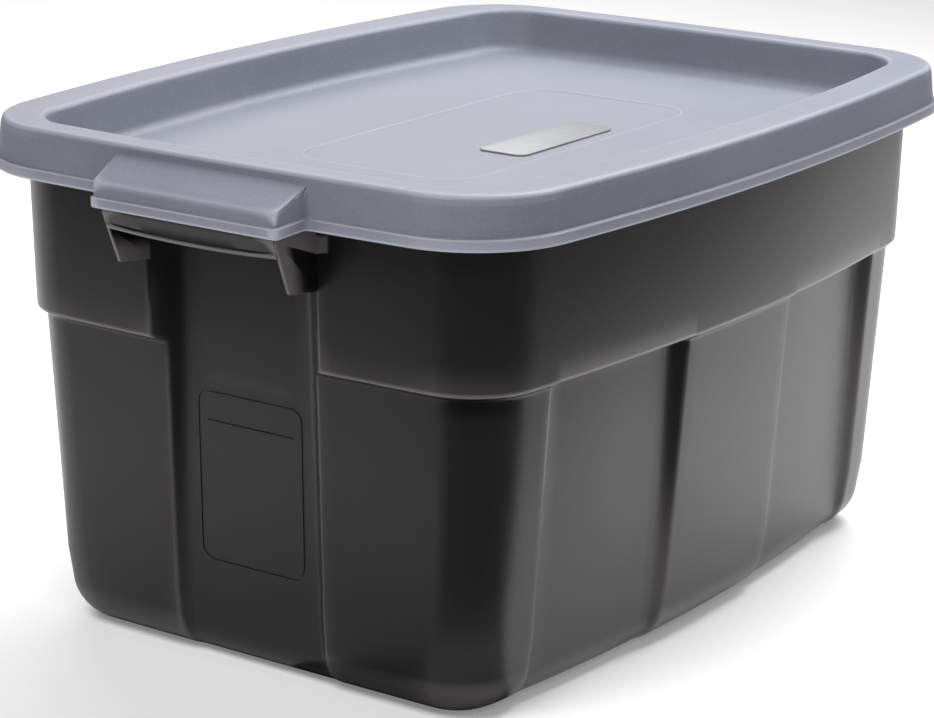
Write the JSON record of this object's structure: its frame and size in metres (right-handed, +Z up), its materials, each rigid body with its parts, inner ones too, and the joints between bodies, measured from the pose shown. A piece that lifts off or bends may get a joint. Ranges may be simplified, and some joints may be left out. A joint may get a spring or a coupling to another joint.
{
  "type": "stackable storage bin",
  "caption": "Lidded plastic storage tote with bowed, tapering panelled walls, moulded end grips and a recessed lid that locates the foot of the next bin.",
  "frame": {"origin": "middle of the foot, on the surface that the bin stands on", "axes": "+X along the length towards one grip, +Z up, +Y across towards the long side away from the badge"},
  "size_m": [0.5852, 0.415, 0.31],
  "materials": {
    "tub": "satin charcoal polyolefin",
    "lid": "fine-grained blue-grey polyolefin",
    "lid_badge": "satin off-white"
  },
  "bodies": {
    "tub": {"tub": "tub"},
    "lid": {"lid": "lid", "lid_badge": "lid_badge"}
  },
  "joints": [
    {"name": "lid_lift", "type": "slide", "parent": "tub", "child": "lid", "axis": [0, 0, 1], "range_m": [0, 0.15]}
  ]
}
